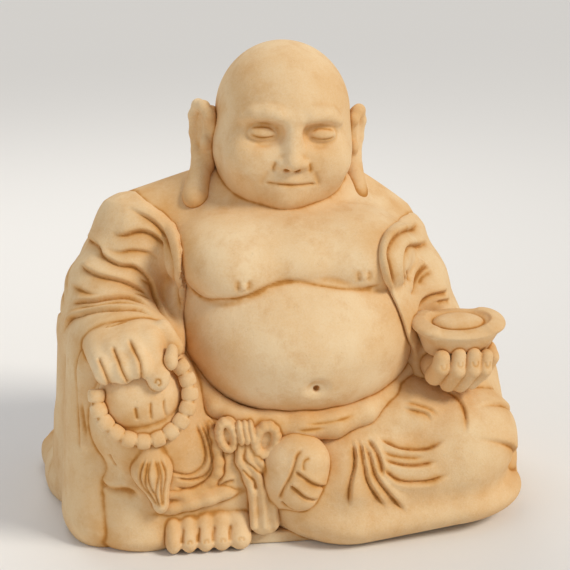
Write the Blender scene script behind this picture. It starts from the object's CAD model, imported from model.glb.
"""The looks of the seated laughing-monk statue: cast stone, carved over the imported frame."""

import math

import bpy
import numpy as np
from mathutils import Matrix, Vector


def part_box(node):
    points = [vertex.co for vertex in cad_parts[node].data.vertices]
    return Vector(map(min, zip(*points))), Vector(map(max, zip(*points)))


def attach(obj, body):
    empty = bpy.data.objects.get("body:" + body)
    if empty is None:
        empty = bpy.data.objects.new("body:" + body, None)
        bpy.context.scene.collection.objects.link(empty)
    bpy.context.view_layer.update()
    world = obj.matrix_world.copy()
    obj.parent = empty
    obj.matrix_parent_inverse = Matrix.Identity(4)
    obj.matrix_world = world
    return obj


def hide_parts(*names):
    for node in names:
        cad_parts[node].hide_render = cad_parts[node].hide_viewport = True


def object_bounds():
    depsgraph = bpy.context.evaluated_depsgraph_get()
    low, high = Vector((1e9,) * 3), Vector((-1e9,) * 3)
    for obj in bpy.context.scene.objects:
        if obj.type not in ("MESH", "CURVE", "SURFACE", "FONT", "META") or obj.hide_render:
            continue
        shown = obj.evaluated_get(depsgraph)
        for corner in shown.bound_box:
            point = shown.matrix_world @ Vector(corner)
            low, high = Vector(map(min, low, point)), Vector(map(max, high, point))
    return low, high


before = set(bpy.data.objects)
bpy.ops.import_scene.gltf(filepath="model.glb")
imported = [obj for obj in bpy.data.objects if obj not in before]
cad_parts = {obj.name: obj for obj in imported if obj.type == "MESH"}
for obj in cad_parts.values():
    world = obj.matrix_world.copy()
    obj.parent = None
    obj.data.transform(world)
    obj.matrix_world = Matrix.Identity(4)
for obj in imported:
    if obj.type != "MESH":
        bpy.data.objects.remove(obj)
CAD_LO, CAD_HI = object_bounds()
TALL = CAD_HI.z - CAD_LO.z
MM = 0.001
UNION, CUT = 1, -1
GROUND = 0.0


# ---- Camera, floor and light --------------------------------------------------------

AZIMUTH, ELEVATION = math.radians(-9), math.radians(17)
DISTANCE = 3.38 * TALL
SENSOR = 36
LENS = 99.4


def make_camera():
    """The statue seen a little from its right and from above."""
    target = Vector((0, -0.045 * TALL, 0.4845 * TALL))
    back = Vector((math.sin(AZIMUTH) * math.cos(ELEVATION),
                   -math.cos(AZIMUTH) * math.cos(ELEVATION),
                   math.sin(ELEVATION)))
    right = Vector((math.cos(AZIMUTH), math.sin(AZIMUTH), 0))
    turn = Matrix((right, back.cross(right), back)).transposed().to_4x4()
    turn.translation = target + back * DISTANCE
    data = bpy.data.cameras.new("camera")
    data.lens, data.sensor_width = LENS, SENSOR
    camera = bpy.data.objects.new("camera", data)
    camera.matrix_world = turn
    bpy.context.scene.collection.objects.link(camera)
    bpy.context.scene.camera = camera


def light(name, kind, place, power, colour):
    """A lamp at `place` (in statue heights), aimed at the middle of the statue."""
    data = bpy.data.lights.new(name, kind)
    data.energy, data.color = power, colour
    lamp = bpy.data.objects.new(name, data)
    lamp.location = Vector(place) * TALL
    aim = Vector((0, 0, 0.5 * TALL)) - lamp.location
    lamp.rotation_euler = aim.to_track_quat("-Z", "Y").to_euler()
    bpy.context.scene.collection.objects.link(lamp)
    return data


def make_light():
    # the key is far off, so that it lights the floor evenly; its angle makes it soft
    light("key", "SUN", (2.6, -2.0, 3.4), 2.05, (1.0, 0.94, 0.84)).angle = math.radians(18)
    light("fill", "AREA", (-3.2, -2.6, 1.4), 6, (0.96, 0.98, 1.0)).size = 1.6
    light("top", "AREA", (-0.6, 2.4, 3.2), 8, (1.0, 0.97, 0.92)).size = 1.2
    world = bpy.data.worlds.new("studio")
    world.use_nodes = True
    sky = world.node_tree.nodes["Background"]
    sky.inputs["Color"].default_value = (0.93, 0.95, 1.0, 1)
    sky.inputs["Strength"].default_value = 0.42
    bpy.context.scene.world = world
    bpy.context.scene.view_settings.view_transform = "Standard"


def make_floor():
    reach = 60 * TALL
    mesh = bpy.data.meshes.new("floor")
    corners = [(-reach, -reach, 0), (reach, -reach, 0), (reach, reach, 0), (-reach, reach, 0)]
    mesh.from_pydata(corners, [], [(0, 1, 2, 3)])
    floor = bpy.data.objects.new("floor", mesh)
    bpy.context.scene.collection.objects.link(floor)
    paper = bpy.data.materials.new("floor_paper")
    paper.use_nodes = True
    shader = paper.node_tree.nodes["Principled BSDF"]
    shader.inputs["Base Color"].default_value = (0.80, 0.79, 0.77, 1)
    shader.inputs["Roughness"].default_value = 0.9
    mesh.materials.append(paper)


make_camera()
make_light()
make_floor()


# ---- Stone --------------------------------------------------------------------------

class Nodes:
    """Short calls for building a node material."""

    def __init__(self, name):
        self.material = bpy.data.materials.new(name)
        self.material.use_nodes = True
        self.tree = self.material.node_tree
        self.shader = self.tree.nodes["Principled BSDF"]

    def add(self, kind, values=(), **settings):
        node = self.tree.nodes.new("ShaderNode" + kind)
        for key, value in settings.items():
            setattr(node, key, value)
        for key, value in dict(values).items():
            if isinstance(value, bpy.types.NodeSocket):
                self.tree.links.new(value, node.inputs[key])
            else:
                node.inputs[key].default_value = value
        return node

    def noise(self, where, scale, detail=4.0, rough=0.55):
        values = {"Vector": where, "Scale": scale, "Detail": detail, "Roughness": rough}
        return self.add("TexNoise", values).outputs["Fac"]

    def ramp(self, value, low, high, to_low=0.0, to_high=1.0):
        values = {"Value": value, "From Min": low, "From Max": high, "To Min": to_low, "To Max": to_high}
        return self.add("MapRange", values, clamp=True).outputs["Result"]

    def math(self, operation, a, b):
        return self.add("Math", {0: a, 1: b}, operation=operation).outputs[0]

    def mix(self, factor, a, b, blend="MIX"):
        return self.add("MixRGB", {"Fac": factor, "Color1": a, "Color2": b},
                        blend_type=blend).outputs["Color"]

    def bump(self, height, strength, distance, below=None):
        values = {"Height": height, "Strength": strength, "Distance": distance}
        if below is not None:
            values["Normal"] = below
        return self.add("Bump", values).outputs["Normal"]


def cast_stone(name, pale, warm, ochre, grit):
    """Cast stone: a pale body with warm clouds, ochre stain in its creases, pits and fine grain."""
    n = Nodes(name)
    where = n.add("TexCoord").outputs["Object"]
    stain = n.add("Attribute", attribute_name="stain").outputs["Fac"]
    cloud = n.noise(where, 14, 5)
    patch = n.noise(where, 46, 6, 0.62)
    grain = n.noise(where, 620, 3, 0.7)
    speck = n.noise(where, 240, 5, 0.75)
    # the stain lies in the creases, broken up where rain has washed it out
    broken = n.math("MULTIPLY", stain, n.ramp(patch, 0.30, 0.62, 0.62, 1.12))
    washed = n.ramp(n.math("ADD", broken, n.ramp(cloud, 0.45, 0.75, 0.0, 0.10)), 0.05, 0.95)
    body = n.mix(n.ramp(cloud, 0.38, 0.62), pale, warm)
    body = n.mix(n.ramp(patch, 0.50, 0.78, 0.0, 0.52), body, ochre)
    body = n.mix(n.ramp(speck, 0.60, 0.76, 0.0, 0.38), body, (0.46, 0.32, 0.17, 1))
    body = n.mix(n.ramp(grain, 0.30, 0.70, 0.0, 0.14), body, (0.97, 0.90, 0.76, 1))
    colour = n.mix(washed, body, ochre)
    deep = n.ramp(washed, 0.60, 1.0, 0.0, 0.6)
    colour = n.mix(deep, colour, (0.38, 0.15, 0.03, 1))
    n.tree.links.new(colour, n.shader.inputs["Base Color"])
    n.tree.links.new(n.ramp(patch, 0.3, 0.7, 0.94, 0.80), n.shader.inputs["Roughness"])
    n.shader.inputs["Specular IOR Level"].default_value = 0.22
    # pits left by air against the mould, gritty grain, and a slow unevenness of the cast
    cells = n.add("TexVoronoi", {"Vector": where, "Scale": 210.0, "Randomness": 1.0})
    pits = n.ramp(cells.outputs["Distance"], 0.05, 0.22)
    sparse = n.ramp(n.noise(where, 90, 2), 0.50, 0.62)
    pits = n.math("ADD", pits, n.math("SUBTRACT", 1.0, sparse))
    pits = n.math("MINIMUM", pits, 1.0)
    slow = n.bump(n.noise(where, 70, 3), 0.45, 1.6 * MM)
    gritty = n.bump(grain, grit, 0.5 * MM, slow)
    sandy = n.bump(speck, grit, 0.9 * MM, gritty)
    n.tree.links.new(n.bump(pits, 0.45, 0.5 * MM, sandy), n.shader.inputs["Normal"])
    return n.material


OCHRE = (0.60, 0.29, 0.065, 1)
STONE = {
    "skin_stone": cast_stone("skin_stone_cast", (0.80, 0.59, 0.34, 1), (0.73, 0.47, 0.22, 1), OCHRE, 0.30),
    "robe_stone": cast_stone("robe_stone_cast", (0.77, 0.56, 0.31, 1), (0.70, 0.44, 0.20, 1), OCHRE, 0.42),
    "ornament_stone": cast_stone("ornament_stone_cast", (0.80, 0.60, 0.35, 1), (0.72, 0.47, 0.23, 1),
                                 OCHRE, 0.32),
    "base_stone": cast_stone("base_stone_cast", (0.72, 0.57, 0.36, 1), (0.62, 0.44, 0.24, 1), OCHRE, 0.55),
}

CORNERS = np.array([(x, y, z) for x in (0, 1) for y in (0, 1) for z in (0, 1)])
EDGES = [(a, b) for a in range(8) for b in range(a + 1, 8) if abs(CORNERS[a] - CORNERS[b]).sum() == 1]


# ---- Places -------------------------------------------------------------------------

class Box:
    """A CAD node's box. Places in it are fractions: -1 and 1 are opposite faces, 0 the middle."""

    def __init__(self, node):
        lo, hi = (np.array(corner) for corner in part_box(node))
        self.node = node
        self.mid, self.half = (lo + hi) / 2, (hi - lo) / 2

    def at(self, place):
        return self.mid + self.half * np.array(place, float)

    def size(self, fractions):
        return self.half * np.array(fractions, float)

    def upright(self, p):
        return p

    def widen(self, lo, hi):
        return lo, hi


class Frame(Box):
    """A measuring frame of its own, the same unit each way, leaning (degrees) about an axis."""

    def __init__(self, middle, unit, lean=0.0, axis="Y"):
        self.node = None
        self.mid, self.half = np.array(middle, float), np.full(3, float(unit))
        self.turn = np.array(Matrix.Rotation(math.radians(lean), 3, axis))

    def upright(self, p):
        """Points of the world, as the form sees them before it leans."""
        turn, mid = self.turn.astype(p.dtype), self.mid.astype(p.dtype)
        return (p - mid) @ turn + mid

    def leaned(self, p):
        return (p - self.mid) @ self.turn.T + self.mid

    def place(self, spot):
        """A place in this frame, as a point of the world."""
        return self.leaned(self.at(spot))

    def widen(self, lo, hi):
        corners = self.leaned(lo + CORNERS * (hi - lo))
        return corners.min(0), corners.max(0)


# ---- Solid forms, as signed distances -----------------------------------------------

def ellipsoid(p, centre, radii):
    """Signed distance from points p to an ellipsoid, good near its surface."""
    q = (p - centre) / radii
    near = np.sqrt((q * q).sum(1)) + 1e-9
    q /= radii
    return near * (near - 1) / (np.sqrt((q * q).sum(1)) + 1e-9)


def tapered(p, a, ra, b, rb):
    """Signed distance to the limb swept from one ellipsoid to another."""
    ab = b - a
    t = np.clip(((p - a) @ ab) / (ab @ ab), 0, 1)[:, None]
    return ellipsoid(p, a + t * ab, ra + t * (rb - ra))


def smooth_min(a, b, blend):
    if blend <= 0:
        return np.minimum(a, b)
    h = np.maximum(blend - np.abs(a - b), 0)
    return np.minimum(a, b) - h * h / (4 * blend)


class Form:
    """A solid built up from ellipsoids and limbs that flow into each other."""

    def __init__(self, box):
        self.box = Box(box) if isinstance(box, str) else box
        self.parts = []
        self.lo, self.hi = np.full(3, 9.0), np.full(3, -9.0)

    def _add(self, shape, args, blend, way):
        args = tuple(np.array(a, np.float32) for a in args)
        self.parts.append((shape, args, blend * MM, way))
        for middle, radii in zip(args[::2], args[1::2]):
            if way == UNION and radii.shape == (3,):
                self.lo = np.minimum(self.lo, middle - radii)
                self.hi = np.maximum(self.hi, middle + radii)
        return self

    def ball(self, place, radii, blend=10, way=UNION):
        return self._add(ellipsoid, (self.box.at(place), self.box.size(radii)), blend, way)

    def limb(self, a, ra, b, rb, blend=10, way=UNION):
        args = (self.box.at(a), self.box.size(ra), self.box.at(b), self.box.size(rb))
        return self._add(tapered, args, blend, way)

    def rope(self, places, radii, blend=4, way=UNION):
        """A run of limbs through the places, round in section; radii in mm, one or one each."""
        points = [self.box.at(p) for p in places]
        if np.isscalar(radii):
            radii = [radii] * len(points)
        rs = [np.full(3, r * MM) if np.isscalar(r) else np.array(r) * MM for r in radii]
        for i in range(len(points) - 1):
            self._add(tapered, (points[i], rs[i], points[i + 1], rs[i + 1]), blend, way)
        return self

    def ring(self, middle, wide, high, turn, thick, deep=7, blend=2):
        """A standing loop of ribbon, `wide` by `high` mm to its middle line, turned in degrees."""
        centre = self.box.at(middle)
        sides = 12
        angle, turn = 2 * math.pi / sides, math.radians(turn)
        spots = []
        for i in range(sides + 1):
            x, z = wide * math.cos(i * angle), high * math.sin(i * angle)
            x, z = x * math.cos(turn) + z * math.sin(turn), z * math.cos(turn) - x * math.sin(turn)
            spots.append(centre + np.array((x, 0, z)) * MM)
        radii = np.array((thick, deep, thick)) * MM
        for a, b in zip(spots, spots[1:]):
            self._add(tapered, (a, radii, b, radii), blend, UNION)
        return self

    def join(self, other, blend, way=UNION):
        """Takes in another form whole."""
        self.parts.append((other.distance, (), blend * MM, way))
        if way == UNION:
            self.lo, self.hi = np.minimum(self.lo, other.lo), np.maximum(self.hi, other.hi)
        return self

    def front(self, x, z):
        """The place on the surface that is first met from the front at (x, z)."""
        p = self.box.at((x, -1.6, z))[None].copy()
        for _ in range(60):
            p[:, 1] += 0.8 * self.distance(p)
        return p[0]

    def nub(self, place, radii, blend):
        centre = self.front(*place)
        return self._add(ellipsoid, (centre, self.box.size(radii)), blend, UNION)

    def reach(self):
        """The corners of a box that holds the form."""
        return self.box.widen(self.lo, self.hi)

    def distance(self, p):
        p = self.box.upright(p)
        d = None
        for shape, args, blend, way in self.parts:
            e = shape(p, *args)
            if d is None:
                d = e
            elif way == UNION:
                d = smooth_min(d, e, blend)
            else:
                d = -smooth_min(-d, e, blend)
        return d


# ---- From solid to mesh -------------------------------------------------------------

def surface(distance, lo, hi, step):
    """A quad mesh of the surface where distance is zero, one vertex to each crossed cell."""
    n = 4 * np.ceil((np.ceil((hi - lo) / step) + 5) / 4).astype(int)
    start = ((lo + hi) / 2 - step * (n - 1) / 2).astype(np.float32)
    step = step.astype(np.float32)
    # a coarse look first: only blocks that the surface may cross are worked out finely
    blocks = np.indices(n // 4).reshape(3, -1).T
    rough = distance(start + (4 * blocks + 1.5).astype(np.float32) * step)
    near = np.nonzero(np.abs(rough) < 1.8 * 2 * np.linalg.norm(step))[0]
    d = np.repeat(np.repeat(np.repeat(rough.reshape(n // 4), 4, 0), 4, 1), 4, 2)
    inner = np.indices((4, 4, 4)).reshape(3, -1).T
    for i in range(0, len(near), 8192):
        at = (4 * blocks[near[i:i + 8192], None] + inner).reshape(-1, 3)
        d[tuple(at.T)] = distance(start + at.astype(np.float32) * step)
    inside = d < 0
    m = n - 1
    count = np.zeros(m, np.int8)
    for c in CORNERS:
        count += inside[c[0]:c[0] + m[0], c[1]:c[1] + m[1], c[2]:c[2] + m[2]]
    cells = np.argwhere((count > 0) & (count < 8))
    index = np.full(m, -1, np.int32)
    index[tuple(cells.T)] = np.arange(len(cells))
    at_corner = [d[tuple((cells + c).T)] for c in CORNERS]
    total = np.zeros((len(cells), 3))
    hits = np.zeros(len(cells))
    for a, b in EDGES:
        da, db = at_corner[a], at_corner[b]
        crossed = (da < 0) != (db < 0)
        t = np.where(crossed, da / np.where(crossed, da - db, 1), 0)
        total += np.where(crossed[:, None], CORNERS[a] + t[:, None] * (CORNERS[b] - CORNERS[a]), 0)
        hits += crossed
    points = (start + (cells + total / hits[:, None]) * step).astype(np.float32)
    faces = []
    for axis in range(3):
        u, v = (axis + 1) % 3, (axis + 2) % 3
        here = np.moveaxis(inside, axis, 0)
        change = np.moveaxis(here[1:] != here[:-1], 0, axis)
        inner = [slice(None)] * 3
        inner[u] = slice(1, -1)
        inner[v] = slice(1, -1)
        at = np.argwhere(change[tuple(inner)])
        at[:, u] += 1
        at[:, v] += 1
        leaving = inside[tuple(at.T)]
        ring = []
        for du, dv in ((-1, -1), (0, -1), (0, 0), (-1, 0)):
            cell = at.copy()
            cell[:, u] += du
            cell[:, v] += dv
            ring.append(index[tuple(cell.T)])
        quads = np.stack(ring, 1)
        quads[~leaving] = quads[~leaving][:, ::-1]
        faces.append(quads)
    return points, np.concatenate(faces)


TETRA = np.array([(1, -1, -1), (-1, -1, 1), (-1, 1, -1), (1, 1, 1)], np.float32)


def gradient(distance, p, reach=0.25 * MM):
    """Unit normals of the distance at points p, from four samples round each."""
    g = sum(way * distance(p + reach * way)[:, None] for way in TETRA)
    return g / (np.linalg.norm(g, axis=1, keepdims=True) + 1e-12)


def settle(distance, p, rounds=3):
    """Moves points onto the surface where distance is zero."""
    p = np.asarray(p, np.float32)
    for _ in range(rounds):
        p = p - gradient(distance, p) * distance(p)[:, None]
    return p


FACING = np.array((.15, .94, -.29))        # the way someone in front of the statue looks


def met(distance, places):
    """Where a look from in front through each place first meets the surface."""
    p = np.array(places, np.float32)
    way = FACING.astype(np.float32)
    q = p - 30 * MM * way
    for _ in range(30):
        q = q + way * np.minimum(0.9 * distance(q), 5 * MM)[:, None]
    hit = np.abs(distance(q)) < 0.5 * MM
    return np.where(hit[:, None], q, p)


def meet(skin, seam, p, reach):
    """Brings points that lie near the line where two surfaces cross exactly onto it."""
    ids = np.nonzero((np.abs(skin(p)) < reach) & (np.abs(seam(p)) < reach))[0]
    q = p[ids]
    for _ in range(4):
        q = settle(skin, settle(seam, q, 1), 1)
    moved = np.linalg.norm(q - p[ids], axis=1) < 2 * reach
    p[ids[moved]] = q[moved]
    return p


def relax(points, faces, rounds):
    """Evens out a mesh by moving each point towards the middle of its neighbours."""
    a, b = faces.reshape(-1), np.roll(faces, -1, 1).reshape(-1)
    n = len(points)
    links = np.bincount(a, minlength=n) + np.bincount(b, minlength=n)
    for _ in range(rounds):
        total = np.stack([np.bincount(a, points[b, i], n) + np.bincount(b, points[a, i], n)
                          for i in range(3)], 1)
        points = 0.5 * points + 0.5 * total / links[:, None]
    return points.astype(np.float32)


def normals_of(points, faces):
    p = points[faces]
    n = np.cross(p[:, 2] - p[:, 0], p[:, 3] - p[:, 1])
    out = np.stack([sum(np.bincount(faces[:, k], n[:, i], len(points)) for k in range(4))
                    for i in range(3)], 1)
    return out / (np.linalg.norm(out, axis=1, keepdims=True) + 1e-12)


def grounded(distance):
    """The same solid, cut off flat at the ground."""
    return lambda p: np.maximum(distance(p), GROUND - p[:, 2])


# ---- Carving ------------------------------------------------------------------------

def curve_through(points, spacing):
    """A smooth line through the points (Catmull-Rom), with samples about `spacing` apart."""
    p = np.array(points)
    p = np.vstack([2 * p[0] - p[1], p, 2 * p[-1] - p[-2]])
    out = []
    for i in range(1, len(p) - 2):
        n = max(2, int(np.linalg.norm(p[i + 1] - p[i]) / spacing))
        t = (np.arange(n) / n)[:, None]
        out.append(0.5 * (2 * p[i] + (p[i + 1] - p[i - 1]) * t
                          + (2 * p[i - 1] - 5 * p[i] + 4 * p[i + 1] - p[i + 2]) * t ** 2
                          + (3 * p[i] - p[i - 1] - 3 * p[i + 1] + p[i + 2]) * t ** 3))
    out.append(p[-2][None])
    return np.concatenate(out)


class Sculpt:
    """A mesh of one form or more, which strokes then carve."""

    def __init__(self, form, step, skin=None, seam=None):
        step = np.ones(3) * step * MM
        lo, hi = form.reach()
        lo[2] = max(lo[2], GROUND)
        self.distance = skin or form.distance      # the surface that strokes are drawn on
        whole = form.distance if seam is None else lambda p: np.maximum(skin(p), seam(p))
        solid = grounded(whole)
        self.points, self.faces = surface(solid, lo, hi, step)
        self.points = relax(self.points, self.faces, 2)
        self.points = settle(solid, self.points, 2)
        if seam is not None:
            self.points = meet(skin, seam, self.points, 1.2 * step.max())
        self.points[:, 2] = np.maximum(self.points[:, 2], GROUND)
        self.normals = gradient(self.distance, self.points)
        # strokes act on the carved surface only, not on cut faces inside the statue
        self.depth = np.clip(1 + self.distance(self.points) / (3 * MM), 0, 1)
        self.depth *= np.clip((self.points[:, 2] - GROUND) / (2 * MM), 0, 1)
        self.cut = np.zeros(len(self.points))      # how deep the strokes go, in metres
        self.rise = np.zeros(len(self.points))     # how far cloth stands up beside them
        self.dip = np.zeros(len(self.points))      # and how far it falls away on the other side
        self.wear = np.zeros(len(self.points))     # stain that gathers in the strokes, 0 to 1

    def stroke(self, line, width=2.2, depth=2.4, lip=0.0, reach=11.0, side=1, ends=0.14, stain=1.0):
        """Carves a groove along a line of places (metres). `lip` lifts the cloth on one side of
        it by that many mm, dying away over `reach` mm; side 1 is the left of the line's run,
        seen from outside. The groove fades over the fraction `ends` at each end."""
        w, r = width * MM, reach * MM
        path = settle(self.distance, curve_through(line, 3 * MM), 3)
        far = max(7 * w, 3 * r if lip else 0)
        near = ((self.points > path.min(0) - far) & (self.points < path.max(0) + far)).all(1)
        ids = np.nonzero(near)[0]
        if not len(ids) or len(path) < 2:
            return self
        p, nrm = self.points[ids], self.normals[ids]
        a, ab = path[:-1], path[1:] - path[:-1]
        run = np.concatenate([[0], np.cumsum(np.linalg.norm(ab, axis=1))])
        best = np.full(len(ids), 1e9)
        along = np.zeros(len(ids))
        signed = np.zeros(len(ids))
        length2 = (ab * ab).sum(1) + 1e-12
        for k in range(len(ab)):
            t = np.clip(((p - a[k]) @ ab[k]) / length2[k], 0, 1)
            off = p - a[k] - t[:, None] * ab[k]
            dist = np.sqrt((off * off).sum(1))
            closer = dist < best
            best[closer] = dist[closer]
            along[closer] = run[k] + t[closer] * (run[k + 1] - run[k])
            across = np.cross(ab[k], off[closer])
            signed[closer] = np.sign((across * nrm[closer]).sum(1))
        t = along / run[-1]
        fade = np.clip(np.minimum(t, 1 - t) / max(ends, 1e-3), 0, 1)
        fade = fade * fade * (3 - 2 * fade)
        groove = depth * MM * fade * np.exp(-(best / w) ** 1.6)
        self.cut[ids] = np.maximum(self.cut[ids], groove)
        low = signed * side < 0
        spread = np.where(low, 2.6, 1.2) * w if lip else 1.5 * w
        soft = fade * (0.62 * np.exp(-(best / spread) ** 1.4) + 0.38 * np.exp(-best / (3 * w)))
        self.wear[ids] = np.maximum(self.wear[ids], stain * soft)
        if lip:
            up = lip * MM * fade * np.exp(-(best / r) ** 1.5) * (1 - np.exp(-(best / w) ** 2))
            down = 0.3 * lip * MM * fade * np.exp(-(best / (0.7 * r)) ** 1.5)
            self.rise[ids] = np.maximum(self.rise[ids], np.where(low, 0, up))
            self.dip[ids] = np.maximum(self.dip[ids], np.where(low, down, 0))
        return self

    def carved(self):
        move = (self.rise - np.maximum(self.cut, self.dip)) * self.depth
        return self.points + self.normals * move[:, None]

# ---- The statue's forms -------------------------------------------------------------

HEAD = Box("head")
SKULL = Frame(HEAD.at((.03, .07, .11)), HEAD.size((.96, .8, .85))[2], lean=3.5)


def head_form():
    """Places and radii on the head are in half skull widths from the middle of the skull."""
    f = Form(SKULL)
    f.ball((0, 0, 0), (1, 1.175, 1.048))
    f.ball((0, -.19, -.54), (1.045, .98, .79), 14)
    f.ball((0, -.25, -.98), (.86, .86, .51), 14)
    f.ball((0, -.16, -1.37), (.84, .84, .41), 5)
    f.ball((0, -.70, -1.10), (.36, .40, .27), 9)
    for side in (-1, 1):
        f.ball((side * .52, -.80, -.56), (.38, .30, .34), 14)
        f.ball((side * .42, -1.12, -.13), (.30, .15, .17), 12, CUT)
        f.ball((side * .42, -.955, -.15), (.215, .125, .125), 2.5)
        f.rope([(side * .12, -1.085, .10), (side * .26, -1.075, .14), (side * .40, -1.03, .15),
                (side * .54, -.96, .12), (side * .68, -.87, .04)], [(4, 5, 3)] * 5, 9)
    # nose: bridge, ball and wings
    f.limb((0, -1.08, .02), (.085, .10, .12), (0, -1.19, -.46), (.115, .13, .12), 7)
    f.ball((0, -1.215, -.53), (.135, .13, .115), 4)
    for side in (-1, 1):
        f.ball((side * .15, -1.12, -.56), (.095, .12, .088), 4)
        f.ball((side * .08, -1.18, -.655), (.045, .06, .035), 2.5, CUT)
    # lips, closed, with the dip above them and the chin below
    f.ball((0, -.985, -.86), (.30, .09, .15), 8)
    f.limb((-.25, -.985, -.81), (.06, .07, .04), (-.05, -1.06, -.80), (.08, .08, .062), 4)
    f.limb((.25, -.985, -.81), (.06, .07, .04), (.05, -1.06, -.80), (.08, .08, .062), 4)
    f.limb((-.12, -1.02, -.925), (.11, .09, .072), (.12, -1.02, -.925), (.11, .09, .072), 4)
    return f


def ear_form(side):
    """A loop of cartilage over a long hanging lobe; places as on the head."""
    def at(out, back, up):
        return (side * (1.08 + out) - .03, back, up)

    f = Form(SKULL)
    drop = .07 if side > 0 else 0
    f.limb(at(-.06, .03, -.18), (.12, .20, .22), at(-.02, -.05, -.72), (.12, .16, .30), 6)
    f.ball(at(.05, .05, -.28), (.10, .17, .33), 5)
    f.rope([at(-.10, -.14, -.30), at(.00, -.16, -.08), at(.08, -.04, .03), at(.14, .12, .02),
            at(.18, .18, -.14), at(.16, .17, -.40), at(.12, .08, -.66), at(.08, -.02, -.86)],
           [4.6, 5.2, 5.6, 5.8, 5.8, 5.6, 6.0, 7.0], 3)
    f.ball(at(.04, -.15, -.50), (.08, .09, .12), 3)
    f.ball(at(.15, -.06, -.27), (.06, .10, .17), 3, CUT)
    f.limb(at(.07, -.06, -.84), (.15, .19, .22), at(.18 - drop, -.40, -1.24 - drop), (.20, .20, .20), 6)
    f.ball(at(.22 - drop, -.50, -1.27 - drop), (.13, .13, .13), 4)
    return f


def torso_form():
    f = Form("torso")
    f.ball((.13, -.25, .08), (.74, .76, .46))
    f.ball((.13, -.23, -.09), (.68, .7, .36), 12)
    f.ball((.13, -.21, .29), (.72, .57, .35), 10)
    chest = Form("torso")
    chest.ball((-.22, -.21, .53), (.39, .53, .26))
    chest.ball((.44, -.19, .53), (.38, .52, .26), 20)
    chest.ball((.12, -.22, .53), (.54, .52, .26), 12)
    # the lower edge of the breasts sags a little over the belly
    chest.ball((-.24, -.52, .46), (.23, .22, .16), 16)
    chest.ball((.47, -.51, .48), (.22, .21, .15), 16)
    chest.limb((-.23, .2, .75), (.29, .32, .23), (-.76, .19, .55), (.24, .32, .28), 18)
    chest.limb((.43, .2, .74), (.28, .32, .21), (.76, .19, .5), (.2, .31, .26), 18)
    chest.ball((.1, .12, .83), (.37, .4, .18), 20)
    chest.ball((.1, .35, .34), (.8, .64, .54), 16)
    f.join(chest, 4)
    f.ball((.1, .24, -.45), (.87, .77, .58), 14)
    # navel, and the soft dent round it
    f.ball((.16, -.99, -.11), (.07, .06, .06), 6, CUT)
    f.ball((.16, -.94, -.11), (.02, .06, .02), 2, CUT)
    for x, z in ((-.23, .46), (.46, .48)):
        f.nub((x, z), (.02, .01, .02), 1.5)
    return f


def back_robe_form():
    f = Form("back_robe")
    f.limb((-.01, -.04, .54), (.57, .83, .42), (-.01, 0, -.22), (.74, .91, .43), 8)
    f.limb((-.02, -.02, -.28), (.77, .91, .39), (-.02, 0, -.87), (.88, 1.01, .23), 10)
    f.limb((-.37, -.3, .81), (.18, .44, .19), (-.63, -.32, .43), (.19, .54, .36), 8)
    f.limb((.35, -.28, .77), (.17, .42, .19), (.48, -.32, .41), (.16, .53, .35), 8)
    f.ball((0, 0, .77), (.36, .6, .21), 12)
    f.limb((-.75, .18, -.91), (.26, .62, .22), (.75, .1, -.91), (.26, .66, .22), 10)
    return f


BODY = torso_form()


def lapel(f, edge, side, roll):
    """The robe's front: a layer of cloth on the body, from its hem outwards to the arm."""
    # across and up, as they look from in front and a little above
    across, up = np.array((1, -.15, 0), np.float32), np.array((0, .3, 1), np.float32)
    hem = curve_through([f.box.at(place) for place in edge], 4 * MM)[::-1].astype(np.float32)
    top, slope = hem[-1], 0.25
    low, back = (hem @ up)[0], BODY.box.at((0, .3, 0))[1]
    thick, far = 5 * MM, 24 * MM

    def layer(p):
        height = p @ up
        bare = side * (np.interp(height, hem @ up, hem @ across) - p @ across)
        bare = np.maximum(np.maximum(bare, low - height), p[:, 1] - back)
        # from its top the hem runs off over the shoulder
        above = height - top @ up - slope * side * ((p - top) @ across)
        bare = np.maximum(bare, above).astype(np.float32)
        near = bare < far
        cloth = bare.copy()
        if near.any():
            # the cloth is thin where it starts on the shoulder
            full = np.clip(-0.35 * above[near], 0, thick)
            cloth[near] = -smooth_min(full - BODY.distance(p[near]), -bare[near], 5 * MM)
        return cloth

    f.parts.append((layer, (), 12 * MM, UNION))
    outer = (BODY.lo if side < 0 else BODY.hi)[0] + side * thick
    f.lo = np.minimum(f.lo, np.minimum(hem.min(0) - thick, (outer, hem[0, 1], hem[0, 2])))
    f.hi = np.maximum(f.hi, np.maximum(hem.max(0) + thick, (outer, back, hem[-1, 2] + 40 * MM)))
    if roll:
        f.rope([np.array(place) + np.array((.03 * side, .03, 0)) for place in edge[1:]], roll, 4)


RIGHT_HEM = [(.24, .31, 1.08), (.46, .16, .93), (.63, .08, .85), (.78, -.06, .77), (.84, -.28, .69), (.85, -.46, .6), (.85, -.46, .41), (.9, -.27, .15), (.86, -.36, -.04), (.83, -.53, -.2), (.8, -.51, -.4)]


def right_sleeve_form():
    f = Form("right_sleeve")
    f.limb((.5, .47, .49), (.8, .54, .52), (-.05, .36, -.08), (.8, .65, .61), 6)
    f.limb((-.05, .36, -.08), (.8, .65, .61), (-.12, .27, -.46), (.88, .72, .53), 6)
    f.limb((-.09, .21, -.3), (.83, .61, .51), (.04, -.57, -.33), (.8, .41, .41), 10)
    lapel(f, RIGHT_HEM, -1, 3)
    return f


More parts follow.
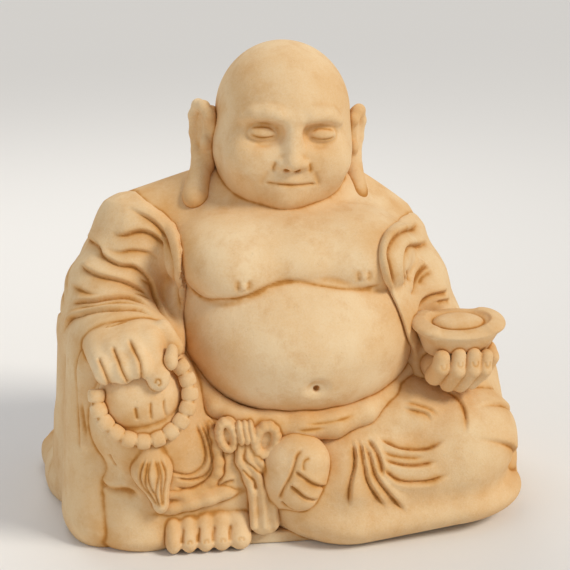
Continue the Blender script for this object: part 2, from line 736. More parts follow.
def right_drape_form():
    f = Form("right_sleeve_drape")
    f.limb((.1, .26, .72), (.79, .64, .4), (.1, .33, -.8), (.96, .79, .34), 6)
    f.limb((-.15, -.38, .66), (.43, .41, .4), (-.22, -.38, -.8), (.54, .47, .34), 10)
    f.limb((0, -.64, .6), (.41, .25, .3), (-.04, -.64, -.8), (.54, .32, .3), 10)
    f.ball((-.33, .6, -.88), (.69, .63, .34), 10)
    return f


LEFT_HEM = [(-.15, .16, .91), (-.41, .08, .87), (-.87, -.51, .96), (-1.11, -.74, .93), (-1.26, -.91, .82), (-1.29, -.99, .65), (-1.18, -.9, .43), (-1.03, -.81, .22), (-.92, -.93, .08), (-.82, -1.01, -.09), (-.7, -1.01, -.3), (-.47, -.74, -.55), (-.25, -.74, -.86)]


def left_sleeve_form():
    f = Form("left_sleeve")
    f.limb((-.55, .38, .37), (.85, .72, .54), (-.18, .2, -.03), (.85, .83, .62), 6)
    f.limb((-.18, .2, -.03), (.85, .83, .62), (.09, .15, -.47), (.83, .77, .52), 6)
    f.limb((.05, .28, -.36), (.83, .62, .49), (.28, -.54, -.55), (.74, .44, .34), 8)
    # the cuff's inner fall, between belly and wrist
    f.limb((-.65, -.44, -.31), (.3, .31, .18), (-.23, -.49, -.86), (.35, .32, .18), 8)
    lapel(f, LEFT_HEM, 1, 0)
    return f


def left_drape_form():
    f = Form("left_sleeve_drape")
    f.limb((-.42, -.08, .61), (.63, .6, .4), (.07, .02, -.65), (.88, .94, .47), 6)
    f.limb((-.38, -.56, .45), (.58, .39, .3), (.07, -.49, -.49), (.7, .54, .47), 8)
    f.limb((-.14, .25, .05), (.91, .75, .75), (0, 0, -.84), (.98, .98, .35), 8)
    return f


def right_leg_form():
    f = Form("right_leg")
    f.ball((-.4, -.23, .47), (.55, .77, .54))
    f.ball((-.4, -.29, .21), (.55, .73, .48), 10)
    f.limb((-.38, -.23, .3), (.55, .73, .5), (-.08, -.18, -.54), (.55, .65, .46), 12)
    f.limb((-.36, -.05, .42), (.51, .78, .5), (.4, .57, .05), (.59, .94, .61), 14)
    f.limb((-.48, -.15, -.37), (.53, .67, .46), (-.42, -.15, -.85), (.59, .73, .27), 12)
    f.limb((-.08, -.15, -.54), (.55, .65, .4), (.36, -.15, -.75), (.55, .67, .34), 12)
    f.limb((.21, -.21, .01), (.42, .62, .38), (.4, -.15, -.48), (.44, .67, .42), 12)
    f.ball((.48, .03, -.27), (.53, .89, .69), 12)
    return f


def left_leg_form():
    f = Form("left_leg")
    f.ball((.43, -.02, .13), (.52, .83, .78))
    f.limb((-.19, .53, .33), (.51, .87, .72), (.4, .12, .16), (.46, .76, .72), 12)
    f.limb((.35, -.09, -.1), (.49, .76, .69), (-.33, -.27, -.19), (.4, .69, .72), 12)
    f.limb((.33, .01, -.62), (.68, .87, .43), (-.36, -.18, -.68), (.51, .83, .46), 14)
    f.ball((-.67, -.18, -.25), (.4, .69, .75), 12)
    f.limb((-.52, -.04, .33), (.31, .58, .38), (.07, .07, .62), (.32, .67, .46), 14)
    return f


def right_foot_form():
    f = Form("right_foot")
    f.limb((-.51, 1.76, .22), (.62, 1.65, 1.11), (.4, 1.76, .22), (.67, 1.65, 1.2))
    toes = ((-.92, 7.5), (-.58, 8), (-.22, 8.4), (.14, 9), (.54, 10.6))
    f.limb((-.41, 1, .13), (.67, .89, 1.02), (.35, .93, .13), (.53, .95, 1.02), 6)
    for x, r in toes:
        f.rope([(x, 1.25, .68), (x, .49, .18), (x, -.08, -.52)],
               [(r * .95, 12, 9), (r * .98, 11, 10), (r, 10, 11)], 4)
    return f


def left_foot_form():
    f = Form("left_foot")
    f.ball((.12, -.23, .11), (.91, .83, .96))
    f.ball((-.37, -.03, -.08), (.59, .71, .88), 10)
    # the toes swell forward together
    f.limb((.45, -.55, .4), (.52, .55, .42), (.19, -.51, -.45), (.49, .51, .42), 10)
    return f


LEG = right_leg_form()
UPPER_FOLD = [(-.83, -.05, -.58), (-.53, .03, -.62), (-.18, .25, -.56), (.07, .22, -.35), (.2, .09, -.09), (.22, .09, .18), (.19, .13, .56), (.12, .38, .89), (.05, .81, 1.12)]


def hem_form():
    f = Form("trouser_hem")
    f.rope([(-1.18, .53, -1.1), (-.78, .22, -.96), (-.38, .1, -.85), (-.01, .04, -.74), (.32, .16, -.63),
            (.7, .4, -.57)], [(9, 8.5, 6.5)] * 6, 6)
    fold = met(LEG.distance, [f.box.at(place) for place in UPPER_FOLD]) + 1.2 * MM * FACING
    f.rope((fold - f.box.mid) / f.box.half, [4.4] * (len(fold) - 2) + [3.4, 2], 4)
    return f


def right_hand_form():
    f = Form("right_hand")
    f.limb((-.19, .81, .44), (.82, .99, .5), (.13, .51, .46), (.78, .99, .55))
    f.limb((-.65, .28, .33), (.27, .41, .27), (-.58, -.48, .21), (.24, .28, .26), 6)
    f.limb((-.33, .11, .49), (.27, .41, .27), (-.24, -.62, .26), (.24, .28, .27), 6)
    f.limb((.01, -.01, .58), (.27, .41, .27), (.11, -.71, .37), (.24, .28, .27), 6)
    f.limb((.34, .05, .69), (.27, .41, .27), (.45, -.68, .12), (.24, .29, .3), 5)
    f.limb((.63, .4, .76), (.21, .41, .25), (.82, -.07, .55), (.18, .29, .21), 4)
    return f


def palm_form():
    """The flat of the cloth and fingers under the fist, inside the bead loop."""
    f = Form("right_hand")
    f.ball((.11, -.01, -.5), (.87, .79, .82))
    return f


def left_hand_form():
    f = Form("left_hand")
    f.ball((-.09, -.17, -.05), (.86, .64, .9))
    f.limb((-.12, .15, -.19), (.72, .59, .85), (-.23, .65, 0), (.72, .59, .94), 10)
    fingers = (((-.73, -.53, -.24), (-.67, -.81, .33), (-.64, -.81, .75), 8.2),
               ((-.39, -.6, -.57), (-.25, -.88, .19), (-.2, -.81, .85), 7.2),
               ((-.09, -.63, -.62), (.14, -.9, .19), (.19, -.83, .85), 7.0),
               ((.22, -.58, -.57), (.47, -.83, .14), (.53, -.79, .75), 6.7))
    for knuckle, joint, tip, r in fingers:
        f.rope([knuckle, joint, tip], [(r * 1.1, r * 1.3, r * 1.1), r, r * .92], 1.6)
    f.limb((.55, -.44, -.29), (.2, .18, .38), (.78, -.53, .47), (.18, .16, .33), 2)
    f.ball((.75, -.26, .66), (.22, .32, .38), 4)
    return f


def waist_form():
    f = Form("waistband")
    f.rope([(-1.07, .28, 1.16), (-.98, -.07, .46), (-.83, -.38, -.11), (-.58, -.6, -.49), (-.35, -.65, -.59),
            (-.12, -.71, -.62), (.13, -.69, -.59), (.4, -.5, -.43), (.63, -.15, -.16), (.81, .28, .24),
            (.92, .7, .67)],
           [(9, 11, 12), (9, 12, 12), (9, 12, 12), (10, 12, 12), (12, 13, 14), (13, 15, 15),
            (13, 15, 14), (12, 15, 12), (11, 14, 10), (10, 12, 9), (9, 11, 9)], 6)
    return f


def bow_form():
    """Two ribbon loops either side of a gathered knot."""
    f = Form("sash_bow")
    f.limb((-.68, .48, .19), (.36, .65, .82), (-.68, .56, -.03), (.36, .65, .82), 2)
    f.limb((.46, .4, -.08), (.5, .65, .93), (.46, .48, -.3), (.5, .65, .88), 2)
    loops = (((-.75, .08, .14), 6.5, 13, -12, 3.8), ((.5, -.08, -.19), 9.5, 14, 16, 4.6))
    for middle, wide, high, turn, thick in loops:
        f.ring(middle, wide, high, turn, thick, blend=1.5)
    for x in (-.36, -.18, 0):
        f.limb((x, -.08, .58), (.11, .56, .33),
               (x + .071, -.24, -.03), (.11, .52, .33), 1.5)
    return f


RIBBONS = (
    [(-.76, .45, .97), (-.76, .18, .62), (-.43, 0, .31), (-.16, -.08, -.05), (-.11, 0, -.8)],
    [(-.49, .45, .97), (-.27, .09, .62), (.11, -.08, .35), (.32, -.17, -.05), (.43, -.08, -.8)],
    [(-.22, .45, .97), (.11, .09, .66), (.6, -.08, .4), (.87, -.08, .04), (.97, 0, -.8)],
)


def tails_form():
    f = Form("sash_tails")
    f.rope([(-.54, .71, .95), (-.32, .54, .57), (.11, .45, .22), (.43, .45, -.13), (.49, .54, -.8)],
           [(9, 6, 8), (11, 7, 9), (13, 8, 10), (14, 8, 12), (14, 9, 12)], 4)
    for ridge in RIBBONS:
        f.rope(ridge, [(3, 4, 4)] * len(ridge), 3)
    return f


def tassel_form():
    f = Form("bead_tassel")
    f.limb((0, .48, .91), (.88, 1.2, .35), (0, .39, .24), (1, 1.38, .52))
    f.limb((0, .39, .24), (1, 1.38, .52), (.41, .48, -.67), (.47, 1.03, .35), 8)
    return f


def guru_form():
    f = Form("guru_bead")
    f.ball((-.18, -.31, -.32), (1.01, .78, .77))
    f.ball((.13, .21, .45), (.79, .67, .58), 5)
    return f



INGOT = Frame(Box("ingot").at((0, .07, -.01)), 0.046, lean=11, axis="X")


def ingot_form():
    """A boat: narrow keel, flaring sides, and a rim whose two ends rise. Unit: half its length."""
    f = Form(INGOT)
    f.limb((0, 0, -.32), (.66, .46, .12), (0, 0, .20), (.88, .62, .13))
    for side in (-1, 1):
        f.limb((side * .28, 0, -.10), (.50, .50, .16), (side * .60, 0, .26), (.35, .48, .12), 6)
    f.ball((0, -.02, .38), (.66, .41, .19), 2, CUT)
    return f


def dome_form():
    f = Form(INGOT)
    f.ball((0, -.02, .24), (.53, .33, .17))
    f.ball((0, -.02, .18), (.56, .36, .08), 3)
    return f


# ---- The bead loop ------------------------------------------------------------------

LOOP = Frame(Box("prayer_beads").at((0, .14, .22)), 0.0410, lean=76, axis="X")
BEADS, FIRST_BEAD, SHOWN_BEADS = 20, 178, 13
BEAD_R, BEAD_HALF = 7.6 * MM, 5.75 * MM


def barrel(p, centre, along):
    """A bead: a barrel with rounded ends, its string running `along`."""
    q = p - centre
    s = q @ along
    out = np.sqrt(np.maximum((q * q).sum(1) - s * s + 0.6 * q[:, 2] ** 2, 0))
    belly = BEAD_R - 0.16 * s * s / BEAD_HALF
    return -smooth_min(belly - out, BEAD_HALF - np.abs(s), 2 * MM)


def beads_form():
    f = Form(LOOP)
    pitch = 2 * math.pi / BEADS
    start = math.radians(FIRST_BEAD)
    turns = [start + i * pitch for i in range(SHOWN_BEADS)]
    string = [(math.cos(a), math.sin(a), 0) for a in turns]
    f.rope(string, 4.8)
    for a in turns:
        f.parts.append((barrel, (LOOP.at((math.cos(a), math.sin(a), 0)).astype(np.float32),
                                 np.array((-math.sin(a), math.cos(a), 0), np.float32)), 0.0, UNION))
    f.lo, f.hi = f.lo - BEAD_R, f.hi + BEAD_R
    return f


def base_form():
    """The plinth: a rounded rectangle (superellipse) with worn edges."""
    box = Box("base_slab")

    def slab(p):
        q = np.abs(p - box.mid) / box.half
        flat = (q[:, 0] ** 3 + q[:, 1] ** 3) ** (1 / 3)
        side = (flat - 1) * min(box.half[:2])
        level = np.abs(p[:, 2] - box.mid[2]) - box.half[2]
        return -smooth_min(-side, -level, 3 * MM)

    f = Form(box)
    f.parts.append((slab, (), 0.0, UNION))
    f.lo, f.hi = box.mid - box.half, box.mid + box.half
    return f


# ---- Pieces -------------------------------------------------------------------------

def crease_stain(points, others, width):
    """How much stain lies on points because another piece is close by: 1 where they touch."""
    stain = np.zeros(len(points))
    for other in others:
        lo, hi = other.reach()
        near = ((points > lo - 3 * width) & (points < hi + 3 * width)).all(1)
        ids = np.nonzero(near)[0]
        if len(ids):
            d = np.maximum(other.distance(points[ids].astype(np.float32)), 0)
            stain[ids] = np.maximum(stain[ids], np.exp(-(d / width) ** 1.3))
    return stain


def hollows(points, faces, normals, rounds, scale):
    """Stain in hollows of the surface: how far each point lies below its neighbourhood."""
    a, b = faces.reshape(-1), np.roll(faces, -1, 1).reshape(-1)
    n = len(points)
    links = np.bincount(a, minlength=n) + np.bincount(b, minlength=n)

    def spread(v):
        return (np.bincount(a, v[b], n) + np.bincount(b, v[a], n)) / links

    smooth = points.copy()
    for _ in range(rounds):
        smooth = np.stack([0.5 * smooth[:, i] + 0.5 * spread(smooth[:, i]) for i in range(3)], 1)
    lift = ((smooth - points) * normals).sum(1) / scale
    for _ in range(3):
        lift = 0.5 * lift + 0.5 * spread(lift)
    return np.clip(lift, 0, 1)


def make_piece(name, nodes, slot, sculpt, others=(), hollow=0.55):
    """The Blender object of a carved piece, with its stone, riding on the statue's one body."""
    points = sculpt.carved()
    normals = normals_of(points, sculpt.faces)
    stain = 0.95 * sculpt.wear
    stain = np.maximum(stain, 0.95 * crease_stain(points, others, 3.0 * MM))
    stain = np.maximum(stain, 0.50 * crease_stain(points, others, 13 * MM))
    stain = np.maximum(stain, 0.9 * hollows(points, sculpt.faces, normals, 10, hollow * MM))
    mesh = bpy.data.meshes.new(name)
    count = len(sculpt.faces)
    mesh.vertices.add(len(points))
    mesh.vertices.foreach_set("co", points.astype(np.float32).ravel())
    mesh.loops.add(4 * count)
    mesh.loops.foreach_set("vertex_index", sculpt.faces.astype(np.int32).ravel())
    mesh.polygons.add(count)
    mesh.polygons.foreach_set("loop_start", np.arange(0, 4 * count, 4, dtype=np.int32))
    mesh.update(calc_edges=True)
    mesh.polygons.foreach_set("use_smooth", np.ones(count, bool))
    mesh.set_sharp_from_angle(angle=math.radians(62))
    layer = mesh.attributes.new("stain", "FLOAT", "POINT")
    layer.data.foreach_set("value", stain.astype(np.float32))
    mesh.materials.append(STONE[slot])
    piece = bpy.data.objects.new(name, mesh)
    bpy.context.scene.collection.objects.link(piece)
    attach(piece, "root")
    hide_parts(*nodes)
    print("%-20s %7d triangles" % (name, 2 * count))
    return piece


FORMS = {
    "plinth": base_form(),
    "body": torso_form(),
    "bald_head": head_form(),
    "ear_right": ear_form(-1),
    "ear_left": ear_form(1),
    "robe_back": back_robe_form(),
    "sleeve_right": right_sleeve_form(),
    "sleeve_right_hanging": right_drape_form(),
    "sleeve_left": left_sleeve_form(),
    "sleeve_left_hanging": left_drape_form(),
    "leg_right": right_leg_form(),
    "leg_left": left_leg_form(),
    "foot_right": right_foot_form(),
    "foot_left": left_foot_form(),
    "hem": hem_form(),
    "hand_right": right_hand_form().join(palm_form(), 0),
    "hand_left": left_hand_form(),
    "ingot_boat": ingot_form(),
    "ingot_middle": dome_form(),
    "waist_roll": waist_form(),
    "bow": bow_form(),
    "tails": tails_form(),
    "beads": beads_form(),
    "bead_long": guru_form(),
    "tassel": tassel_form(),
}


# ---- Carving of the pieces ----------------------------------------------------------

def lines(sculpt, box, strokes, front=True, **shape):
    """Carves a set of lines, each a list of places in the box, drawn from in front or not."""
    for stroke in strokes:
        places = [box.at(place) for place in stroke]
        sculpt.stroke(met(sculpt.distance, places) if front else places, **shape)


def make(name, nodes, slot, step, near=(), carve=None, hollow=0.55):
    form = FORMS[name]
    sculpt = Sculpt(form, step)
    if carve:
        sculpt.form = form
        carve(sculpt, form.box)
    make_piece(name, nodes, slot, sculpt, [FORMS[other] for other in near], hollow)


def carve_body(s, box):
    lines(s, box, [[(-.54, -.5, .54), (-.52, -.45, .41), (-.43, -.48, .33), (-.34, -.61, .35), (-.21, -.68, .38), (-.08, -.67, .43), (.05, -.65, .45), (.17, -.69, .44), (.3, -.72, .42), (.45, -.68, .39), (.6, -.57, .39)]],
          width=1.5, depth=1.3, ends=.04)
    for x, z in ((-.23, .46), (.46, .48)):
        middle = s.form.front(x, z)
        for start in (-.35, .65):
            ring = [middle + 6 * MM * np.array((math.cos(a), 0, math.sin(a)))
                    for a in np.linspace(start * math.pi, (start + .7) * math.pi, 7)]
            s.stroke(ring, width=1.7, depth=1.2, ends=.2, stain=.8)


def carve_robe(s, box):
    """Every fold of the robe, on whichever section it crosses."""
    lines(s, RIGHT, RIGHT_FOLDS, width=1.7, depth=2.6, lip=3.6, reach=9, ends=.2)
    lines(s, RIGHT, RIGHT_SHORT, width=1.5, depth=1.7, lip=1.8, reach=6, ends=.35)
    lines(s, RIGHT, [RIGHT_CUFF], width=1.9, depth=2.6, lip=3.4, reach=10, ends=.04)
    lines(s, LEFT, LEFT_FOLDS, width=1.9, depth=3.2, lip=4.2, reach=8, side=-1, ends=.14)
    lines(s, LEFT, LEFT_SHORT, width=1.6, depth=2.2, lip=2.2, reach=6, side=-1, ends=.3)
    lines(s, BACK, hanging_folds(), False, width=3.2, depth=3.4, lip=4.0, reach=15, ends=.3)
    lines(s, BACK, [COLLAR], False, width=2.6, depth=3.0, lip=3.4, reach=11)
    lines(s, RIGHT, elbow_folds(-1), False, width=2.6, depth=2.2, lip=1.8, reach=10, ends=.4)
    lines(s, LEFT, elbow_folds(1), False, width=2.6, depth=2.2, lip=1.8, reach=10, ends=.4)
    lines(s, BACK, side_folds(), False, width=2.8, depth=3.0, lip=3.4, reach=12, ends=.25)


RIGHT, LEFT, BACK = Box("right_sleeve"), Box("left_sleeve"), Box("back_robe")
RIGHT_FOLDS = [
    [(.11, .25, .93), (.29, .14, .88), (.46, -.09, .85), (.59, -.33, .78), (.67, -.47, .67), (.71, -.61, .52), (.73, -.67, .33), (.74, -.73, .13), (.74, -.78, -.07)],
    [(-.14, .16, .68), (.02, .05, .67), (.33, 0, .72), (.49, -.28, .73), (.57, -.46, .65), (.63, -.62, .43), (.69, -.7, .27)],
    [(-.46, .7, .49), (-.36, .11, .56), (-.28, .01, .47), (-.07, -.14, .41), (.18, -.16, .38), (.37, -.18, .25), (.43, -.35, .1), (.52, -.69, .03), (.71, -.81, -.12)],
    [(-.64, .17, .36), (-.54, .03, .32), (-.34, -.13, .29), (-.01, -.24, .25), (.23, -.33, .18), (.42, -.36, .08)],
    [(-.8, .04, -.05), (-.51, -.32, .08), (-.27, -.43, .14), (.07, -.41, .13), (.38, -.58, .07)],
    [(-.96, -.11, -.35), (-.82, -.23, -.13), (-.61, -.35, -.04), (-.16, -.57, .07), (.2, -.63, .07), (.44, -.75, -.01)],
]
RIGHT_SHORT = [
    [(-.26, .04, .55), (-.06, -.05, .52), (.16, -.1, .55), (.41, -.17, .53), (.49, -.47, .52)],
    [(.18, -.25, .31), (.37, -.19, .21), (.47, -.16, .12)],
    [(.08, -.36, .18), (.22, -.42, .16), (.42, -.36, .08)],
    [(-.78, .23, .12), (-.55, -.17, .13), (-.31, -.26, .13)],
    [(-.87, .05, -.16), (-.63, -.31, .02), (-.4, -.43, .07), (.06, -.55, .12), (.34, -.63, .05)],
    [(-.68, -.8, -.72), (-.68, -.83, -.9), (-.65, -.95, -1.27)],
]
RIGHT_CUFF = [(.21, -.88, .03), (-.21, -.77, 0), (-.54, -.85, -.12), (-.72, -.68, -.39), (-.75, -.72, -.69), (-.75, -.79, -1.11), (-.76, -.8, -1.35)]
LEFT_FOLDS = [
    [(-.04, -.01, .86), (-.3, -.25, .83), (-.74, -.57, .87), (-1.03, -.82, .83), (-1.14, -.93, .7), (-1.02, -.83, .43), (-.89, -.74, .22)],
    [(.14, -.19, .63), (-.18, -.35, .65), (-.55, -.54, .68), (-.75, -.78, .63), (-.76, -.81, .46), (-.64, -.81, .29)],
    [(.03, -.31, .4), (-.24, -.52, .38), (-.41, -.61, .28), (-.55, -.85, .17)],
    [(.5, -.22, 0), (.1, -.49, .06), (-.21, -.69, .07), (-.39, -.8, -.01), (-.54, -1.07, -.06)],
]
LEFT_SHORT = [
    [(.14, -.32, .32), (-.18, -.49, .29), (-.37, -.69, .22)],
    [(-.68, -.78, .48), (-.49, -.66, .29)],
    [(.58, -.24, -.1), (.26, -.45, -.04), (.02, -.58, -.02)],
]
COLLAR = [(-.52, -.1, .86), (-.36, .45, .90), (-.12, .72, .86), (.14, .72, .86), (.36, .42, .88), (.48, -.1, .84)]


def hanging_folds():
    """Folds down the back: they leave the shoulders close together and spread to the hem."""
    folds = 9
    found = []
    for i in range(folds):
        x = -1 + 2 * (i + .5) / folds
        sway = .05 * math.sin(2.4 * i)
        top = .62 - .10 * math.cos(1.7 * i) - .25 * x * x
        found.append([(.52 * x, .9, top), (.62 * x + sway, 1, .1), (.78 * x, 1, -.4),
                      (.93 * x - sway, 1, -.93)])
    return found


def side_folds():
    """Folds down the outer side of each hanging sleeve."""
    found = []
    for side in (-1, 1):
        for i in range(3):
            y = -.55 + .42 * i
            found.append([(side * 1.0, y, -.28 - .06 * i), (side * 1.05, y - .05, -.45),
                          (side * 1.06, y - .02, -.7), (side * 1.02, y + .06, -.92)])
    return found


def elbow_folds(side):
    """Folds that fan out round the back of an elbow from its outer side."""
    folds = 3
    found = []
    for i in range(folds):
        low, high = .02 - .10 * i, .60 - .48 * i
        found.append([(side * 1.0, .02, low), (side * .98, .4, low + .3 * (high - low)),
                      (side * .86, .7 - .05 * i, low + .7 * (high - low)), (side * .65, .95, high)])
    return found


ROBE = {
    "robe_back": ("back_robe", (2.1, 2.1, 2.1)),
    "sleeve_right": ("right_sleeve", (1.25, 1.4, 1.25)),
    "sleeve_right_hanging": ("right_sleeve_drape", (1.6, 1.8, 1.6)),
    "sleeve_left": ("left_sleeve", (1.25, 1.4, 1.25)),
    "sleeve_left_hanging": ("left_sleeve_drape", (1.6, 1.8, 1.6)),
}


def make_robe():
    """One flowing surface over back and arms, divided into the five sections of the CAD."""
    whole = Form("back_robe")
    for name in ROBE:
        whole.join(FORMS[name], 5)
    near = ("bald_head", "ear_right", "ear_left", "hand_right", "hand_left", "leg_right", "leg_left",
            "ingot_boat", "waist_roll", "beads", "plinth")
    for name, (node, step) in ROBE.items():
        own = FORMS[name].distance
        rest = [FORMS[other].distance for other in ROBE if other != name]

        def seam(p, own=own, rest=rest):
            return 0.5 * (own(p) - np.minimum.reduce([d(p) for d in rest]))

        sculpt = Sculpt(FORMS[name], step, skin=whole.distance, seam=seam)
        carve_robe(sculpt, None)
        make_piece(name, [node], "robe_stone", sculpt, [FORMS[other] for other in near])


def carve_leg_right(s, box):
    lines(s, box, [[(-.22, -.89, -.07), (-.19, -.88, -.14), (-.06, -.84, -.2), (.01, -.81, -.21), (.08, -.76, -.19), (.13, -.78, -.12), (.15, -.8, -.03), (.14, -.79, .06), (.12, -.74, .15), (.08, -.64, .28)],
                   [(-.16, -.86, -.21), (-.01, -.82, -.26), (.12, -.76, -.26), (.19, -.79, -.18), (.21, -.81, -.09), (.19, -.81, .05), (.17, -.75, .15), (.12, -.6, .27)],
                   [(-.18, -.86, -.3), (-.05, -.83, -.35), (.09, -.78, -.34), (.18, -.78, -.27), (.22, -.8, -.18), (.24, -.81, -.09), (.22, -.81, .06), (.19, -.73, .19), (.14, -.57, .3)]],
          width=1.4, depth=2.2, lip=1.6, reach=4, side=-1, ends=.1)
    lines(s, box, [[(-.22, -.83, -.44), (-.09, -.83, -.45), (.09, -.78, -.42), (.23, -.79, -.34), (.3, -.81, -.24), (.32, -.81, -.13), (.3, -.79, .01), (.28, -.76, .13), (.27, -.71, .21), (.23, -.59, .29), (.15, -.56, .35)],
                   [(.27, -.8, -.36), (.34, -.81, -.31), (.43, -.82, -.29)], [(.25, -.79, -.41), (.35, -.81, -.41), (.46, -.83, -.4)],
                   [(-.75, -.76, .04), (-.72, -.72, -.04), (-.68, -.66, -.13)]], width=1.5, depth=2.2, lip=1.6, reach=6, ends=.15)
    lines(s, box, [[(-.99, -.5, -.1), (-.9, -.71, -.22), (-.76, -.7, -.34), (-.59, -.79, -.33), (-.47, -.83, -.42)]], width=2.6, depth=2.6, lip=2.2, reach=8)


def carve_leg_left(s, box):
    lines(s, box, [[(-.37, -.59, .43), (-.37, -.8, .4), (-.37, -.85, .2), (-.41, -.93, -.03), (-.42, -.93, -.37)],
                   [(-.33, -.54, .46), (-.32, -.8, .4), (-.31, -.9, .19), (-.28, -.99, -.04), (-.15, -.99, -.42)],
                   [(-.29, -.56, .45), (-.26, -.77, .29), (-.23, -.89, .05), (-.14, -.92, -.2), (.01, -.9, -.54)],
                   [(-.25, -.58, .44), (-.2, -.77, .28), (-.17, -.91, -.01)]],
          width=1.7, depth=3.0, lip=3.6, reach=9, ends=.22)
    lines(s, box, [[(-.18, -.56, .45), (-.12, -.79, .42), (-.04, -.82, .36), (.06, -.8, .32), (.18, -.78, .32), (.3, -.74, .43)],
                   [(-.18, -.79, .26), (-.11, -.83, .19), (0, -.83, .13), (.12, -.83, .12), (.23, -.87, .18)],
                   [(-.21, -.9, .21), (-.14, -.93, .08), (-.06, -.95, -.03), (.06, -.95, -.07), (.19, -.93, -.07), (.31, -.91, .01)]],
          width=1.7, depth=3.0, lip=3.4, reach=8, side=-1, ends=.22)
    lines(s, box, [[(.03, -.33, .79), (.15, -.3, .73), (.23, -.46, .71), (.28, -.58, .64)], [(.03, -.33, .7), (.13, -.36, .67), (.2, -.49, .66), (.22, -.59, .58)],
                   [(-.2, -.79, .38), (-.13, -.83, .3), (-.03, -.85, .25), (.1, -.87, .23), (.17, -.87, .25)],
                   [(.26, -.53, 1.04), (.41, -.33, .85), (.46, -.5, .75), (.46, -.64, .62), (.44, -.77, .43)]],
          width=1.5, depth=1.9, lip=2.0, reach=7, ends=.3)
    # folds run on round the outer side of the knee
    lines(s, box, [[(.45, -.95, .55), (.78, -.75, .28), (.95, -.35, -.10), (1.0, .05, -.45)],
                   [(.55, -.6, .85), (.85, -.2, .55), (.98, .2, .15)]], False,
          width=2.4, depth=2.6, lip=2.6, reach=10, ends=.4, stain=.7)


def carve_hand_right(s, box):
    lines(s, box, [[(-.72, -.16, .47), (-.64, -.74, .34), (-.45, -.39, -.16)], [(-.43, -.07, .67), (-.32, -.7, .45), (-.13, -.54, -.02)], [(-.11, -.12, .83), (-.01, -.52, .66), (.08, -.95, .48), (.13, -.57, .01)]],
          width=1.5, depth=2.4, ends=.12)
    lines(s, box, [[(-.04, -.8, -.44), (-.02, -.77, -.58), (.02, -.68, -.8)], [(.28, -.81, -.33), (.28, -.77, -.57), (.3, -.66, -.84)], [(.55, -.8, -.3), (.54, -.78, -.52), (.61, -.53, -.82)]],
          width=1.4, depth=1.6, ends=.2)
    lines(s, box, [[(.37, -.94, .04), (.39, -.98, .14), (.46, -.98, .13), (.48, -.96, .04), (.42, -.94, 0)]], width=.9, depth=.7, ends=.02)


def carve_foot_left(s, box):
    lines(s, box, [[(.24, -.64, .78), (.03, -.72, .63), (-.07, -.82, .41), (-.18, -.71, .08), (-.37, -.6, -.26), (-.5, -.42, -.62)]],
          width=1.3, depth=1.8, lip=1.2, reach=5, side=-1, ends=.12)
    lines(s, box, [[(-.07, -.81, .25), (.17, -.74, .09), (.45, -.9, -.08), (.92, -.58, -.31)], [(-.2, -.66, -.15), (0, -.72, -.27), (.24, -.91, -.43), (.64, -.65, -.61)],
                   [(-.42, -.5, -.6), (-.18, -.74, -.75), (.07, -.86, -.86)]], width=1.7, depth=2.6, lip=1.6, reach=6, ends=.1)
    lines(s, box, [[(.22, -.82, .22), (.19, -.85, .41), (.27, -.86, .53), (.41, -.92, .57)]], width=1.1, depth=1.0, ends=.15)


def carve_foot_right(s, box):
    for x in (-.75, -.4, -.05, .32):
        s.stroke([box.at(p) for p in ((x, -.80, .35), (x, -.95, -.1), (x, -.95, -.6))],
                 width=1.2, depth=1.8, ends=.2)
    for x in (-.58, -.22, .14, .54):
        nail = [(x - .08, -.95, -.50), (x - .06, -.95, -.28), (x + .06, -.95, -.28), (x + .08, -.95, -.50)]
        s.stroke([box.at(p) for p in nail], width=.9, depth=.6, ends=.1, stain=.7)


def carve_tassel(s, box):
    strands = 6
    for i in range(strands):
        x = -1 + 2 * (i + .5) / strands
        wave = .12 * math.sin(2.5 * i)
        s.stroke([box.at(p) for p in ((.5 * x, -1, .8), (.9 * x + wave, -1, .35), (.88 * x, -1, -.1),
                                      (.7 * x + .1 - wave, -1, -.5), (.35 * x + .28, -1, -.9))],
                 width=1.2, depth=1.6, lip=.8, reach=3, ends=.15)


def carve_tails(s, box):
    lines(s, box, [[(-.45, -.61, 1.14), (-.53, -.28, .91), (-.61, -.64, .72), (-.33, -.75, .59), (.01, -.74, .48), (.34, -.94, .36), (.43, -.97, .14)], [(-.78, -.22, .49), (-.47, -.7, .4), (-.15, -.86, .26), (-.05, -.85, .04)]],
          width=1.3, depth=1.8, ends=.12)


def carve_waist(s, box):
    lines(s, box, [[(-.16, -.89, -.47), (.02, -.89, -.48), (.21, -.8, -.44), (.37, -.65, -.34)], [(-.22, -.93, -.6), (-.07, -.99, -.59), (.08, -.97, -.58)]],
          width=1.3, depth=1.2, ends=.35)


def carve_hand_left(s, box):
    for x, y, z in ((-.62, -.99, .7), (-.2, -1.01, .8), (.19, -1.01, .8), (.53, -.97, .7)):
        nail = [(x - .084, y, z - .094), (x - .072, y, z - .283), (x, y, z - .359),
                (x + .072, y, z - .283), (x + .084, y, z - .094)]
        s.stroke([box.at(p) for p in nail], width=.9, depth=.6, ends=.06, stain=.7)


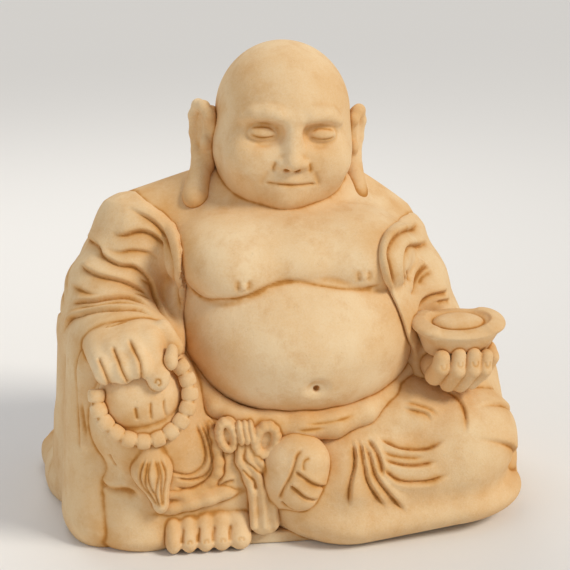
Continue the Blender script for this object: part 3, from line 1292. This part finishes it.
def carve_head(s, box):
    """Lid lines, lips and the creases of cheek and neck, in half skull widths as the face is."""
    def stroke(places, **shape):
        s.stroke([SKULL.place(p) for p in places], **shape)

    stroke([(-.37, -.96, -.825), (-.18, -1.07, -.862), (0, -1.10, -.87), (.18, -1.07, -.862),
            (.37, -.96, -.825)], width=1.1, depth=1.8, ends=.12)
    for side in (-1, 1):
        def mirrored(places):
            return [(side * x, y, z) for x, y, z in places]
        stroke(mirrored([(.23, -1.04, -.19), (.34, -1.07, -.215), (.46, -1.06, -.215), (.60, -.98, -.165)]),
               width=1.1, depth=1.5, ends=.15)
        stroke(mirrored([(.22, -1.05, -.12), (.34, -1.08, -.045), (.48, -1.05, -.04), (.63, -.95, -.11)]),
               width=1.2, depth=1.0, ends=.25)
        stroke(mirrored([(.24, -1.02, -.31), (.40, -1.02, -.36), (.56, -.95, -.33)]),
               width=1.8, depth=.8, ends=.35, stain=.5)
        stroke(mirrored([(.22, -1.12, -.52), (.27, -1.10, -.62), (.24, -1.10, -.69)]),
               width=1.3, depth=1.3, ends=.25)
        stroke(mirrored([(.30, -1.05, -.60), (.38, -1.0, -.76), (.40, -.95, -.92)]),
               width=2.2, depth=1.1, ends=.35, stain=.5)
    stroke([(-.34, -1.0, -1.32), (0, -1.1, -1.36), (.34, -1.0, -1.32)], width=2.4, depth=1.2, ends=.3)


make("plinth", ["base_slab"], "base_stone", (3, 3, 1.5), ("leg_right", "leg_left", "robe_back"))
make("body", ["torso"], "skin_stone", (1.7, 2.2, 1.6),
     ("bald_head", "robe_back", "sleeve_right", "sleeve_left", "waist_roll", "leg_right", "leg_left"), carve_body)
make("bald_head", ["head"], "skin_stone", 1.15, ("body", "ear_right", "ear_left", "robe_back"), carve_head)
make("ear_right", ["right_ear"], "skin_stone", .9, ("bald_head", "body", "robe_back"))
make("ear_left", ["left_ear"], "skin_stone", .9, ("bald_head", "body", "robe_back"))
make_robe()
make("leg_right", ["right_leg"], "robe_stone", (1.1, 1.4, 1.1),
     ("body", "hem", "foot_right", "hand_right", "beads", "tassel", "waist_roll", "bow", "tails",
      "sleeve_right_hanging"), carve_leg_right)
make("leg_left", ["left_leg"], "robe_stone", (1.3, 1.5, 1.3),
     ("body", "foot_left", "hand_left", "waist_roll", "tails", "sleeve_left_hanging"), carve_leg_left)
make("foot_right", ["right_foot"], "skin_stone", .9, ("hem", "leg_right"), carve_foot_right)
make("foot_left", ["left_foot"], "skin_stone", .9, ("leg_left", "tails", "waist_roll"), carve_foot_left)
make("hem", ["trouser_hem"], "robe_stone", 1.0, ("leg_right", "foot_right", "tails"))
make("hand_right", ["right_hand"], "skin_stone", .95, ("beads", "sleeve_right", "leg_right", "bead_long"),
     carve_hand_right)
make("hand_left", ["left_hand"], "skin_stone", .95, ("ingot_boat", "sleeve_left", "leg_left", "body"),
     carve_hand_left)
make("ingot_boat", ["ingot"], "ornament_stone", .9, ("ingot_middle", "hand_left"))
make("ingot_middle", ["ingot_dome"], "ornament_stone", .9, ("ingot_boat",))
make("waist_roll", ["waistband"], "robe_stone", 1.2, ("body", "leg_right", "leg_left", "bow"), carve_waist)
make("bow", ["sash_bow"], "robe_stone", .9, ("leg_right", "waist_roll", "tails"))
make("tails", ["sash_tails"], "robe_stone", .9, ("leg_right", "leg_left", "bow", "foot_left"), carve_tails)
make("beads", ["prayer_beads"], "ornament_stone", .85, ("leg_right", "hand_right", "sleeve_right_hanging"),
     hollow=0.22)
make("bead_long", ["guru_bead"], "ornament_stone", .8, ("hand_right", "leg_right", "beads"))
make("tassel", ["bead_tassel"], "ornament_stone", .85, ("leg_right", "beads"), carve_tassel)
